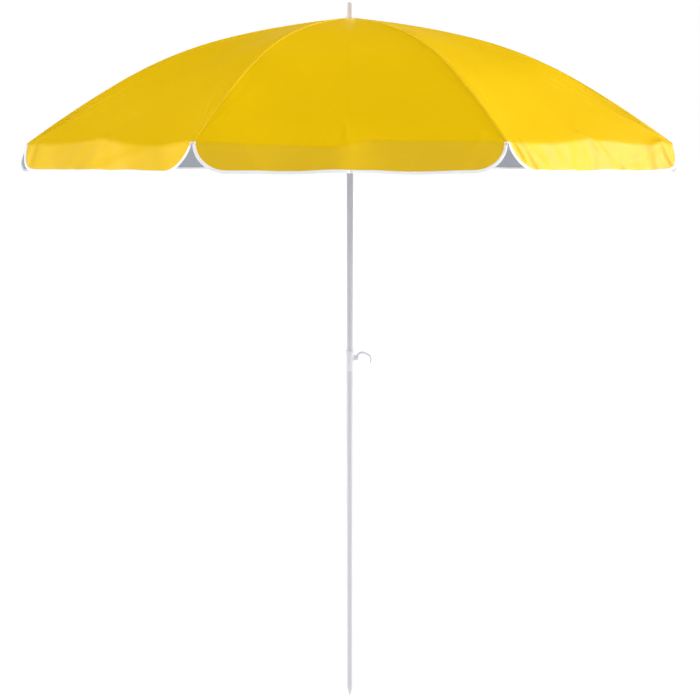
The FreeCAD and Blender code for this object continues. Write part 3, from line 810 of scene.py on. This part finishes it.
finishes = {
    "lower_pole": "poleLower", "ground_spike": "poleLower", "upper_pole": "poleUpperPaintedShade",
    "clamp_collar": "plastic", "clamp_hook": "plastic", "pole_end_bush": "plastic", "crown": "plastic",
    "finial": "plastic", "runner": "plastic", "rib_tip": "plastic", "rib": "rod", "stretcher": "rod",
    "rib_clip": "zinc", "clamp_nut": "zinc", "clamp_stud": "zinc", "catch_pin": "zinc",
    "runner_catch": "zinc", "crown_ring": "zinc", "crown_rivet": "zinc", "runner_ring": "zinc",
}
for name, piece in nodes.items():
    kind = name.rstrip("0123456789").rstrip("_")
    if kind in finishes:
        for materialSlot in piece.material_slots:
            materialSlot.material = materials[finishes[kind]]
print("finishes set")

studio = {
    "floor": "E8E8E9",
    "floorHalf": 1500.0,
    "backdrop": 1.0,         # brightness of the white band all round the horizon
    "bandTop": 0.13,         # sines of the elevations between which it darkens
    "ceilingStart": 0.34,
    "ceiling": 0.03,         # dark, so that it leaves no haze on the gores that mirror it
    "frontFill": 0.84,       # a large white screen behind the camera
    "fillEdge": -0.7,        # from there to the side, as a sine, it darkens
    "lampDistance": 4.0,     # only for its place in the file: a sun lights from its direction
    # a lamp that isn't mirrored lights the cloth without leaving its glare on it
    "lights": {
        "keyLight": {"from": (0.88, 0.30, 0.42), "strength": 3.8, "angle": 55.0, "mirrored": False},
        "rimLight": {"from": (-0.84, 0.30, 0.44), "strength": 3.1, "angle": 50.0, "mirrored": False},
        "rightSoftbox": {"from": (0.88, 0.12, 0.45), "strength": 1.3, "angle": 35.0, "mirrored": True},
        "leftSoftbox": {"from": (-0.88, 0.12, 0.45), "strength": 0.2, "angle": 35.0, "mirrored": True},
    },
}


def paperFloor():
    material, tree = blankMaterial("seamlessPaper")
    place = addNode(tree, "ShaderNodeTexCoord")
    grain = addNode(tree, "ShaderNodeTexNoise", None, {"Vector": place.outputs["Object"], "Scale": 60.0})
    bump = addNode(tree, "ShaderNodeBump", None, {"Height": grain.outputs["Fac"], "Strength": 0.03,
                                                  "Distance": 0.001})
    shader = addNode(tree, "ShaderNodeBsdfPrincipled", None,
                     {"Base Color": linear(studio["floor"]), "Roughness": 0.9,
                      "Normal": bump.outputs["Normal"], "Specular IOR Level": 0.1})
    addNode(tree, "ShaderNodeOutputMaterial", None, {"Surface": shader.outputs["BSDF"]})
    half = studio["floorHalf"]
    corners = [(-half, -half, 0), (half, -half, 0), (half, half, 0), (-half, half, 0)]
    makeObject("paperFloor", makeMesh("paperFloor", corners, [(0, 1, 2, 3)], material=material))


def softLight(name, look):
    light = bpy.data.lights.new(name, "SUN")
    light.energy = look["strength"]
    light.angle = math.radians(look["angle"])
    lamp = makeObject(name, light)
    lamp.visible_glossy = look["mirrored"]
    lamp.location = Vector(look["from"]) * studio["lampDistance"]
    lamp.rotation_euler = Vector(look["from"]).to_track_quat("Z", "Y").to_euler()


def studioWorld():
    world = bpy.data.worlds.new("studioWorld")
    world.use_nodes = True
    tree = world.node_tree
    tree.nodes.clear()
    place = addNode(tree, "ShaderNodeTexCoord")
    direction = addNode(tree, "ShaderNodeSeparateXYZ", None, {"Vector": place.outputs["Generated"]})
    band = addNode(tree, "ShaderNodeMapRange", {"interpolation_type": "SMOOTHSTEP"},
                   {"Value": direction.outputs["Z"], "From Min": studio["bandTop"],
                    "From Max": studio["ceilingStart"], "To Min": studio["backdrop"],
                    "To Max": studio["ceiling"]})
    fill = addNode(tree, "ShaderNodeMapRange", {"interpolation_type": "SMOOTHSTEP"},
                   {"Value": direction.outputs["Y"], "From Min": studio["fillEdge"], "From Max": 0.0,
                    "To Min": studio["frontFill"], "To Max": 0.0})
    light = addNode(tree, "ShaderNodeMath", {"operation": "MAXIMUM"},
                    {0: band.outputs["Result"], 1: fill.outputs["Result"]})
    sky = addNode(tree, "ShaderNodeBackground", None, {"Color": linear("FFFFFF"),
                                                       "Strength": light.outputs[0]})
    addNode(tree, "ShaderNodeOutputWorld", None, {"Surface": sky.outputs["Background"]})
    bpy.context.scene.world = world


paperFloor()
for lightName, lightLook in studio["lights"].items():
    softLight(lightName, lightLook)
studioWorld()

shot = {
    "distance": 3.607,
    "height": 1.582,
    "pitch": 5.52,
    "lens": 64.76,
    "shiftY": -0.097,
}
lens = bpy.data.cameras.new("studioCamera")
lens.lens = shot["lens"]
lens.sensor_width = 36.0
lens.shift_y = shot["shiftY"]
camera = makeObject("studioCamera", lens)
camera.location = (0.0, -shot["distance"], shot["height"])
camera.rotation_euler = (math.radians(90 - shot["pitch"]), 0.0, 0.0)
bpy.context.scene.camera = camera
bpy.context.scene.view_settings.view_transform = "Standard"

print("studio ready")
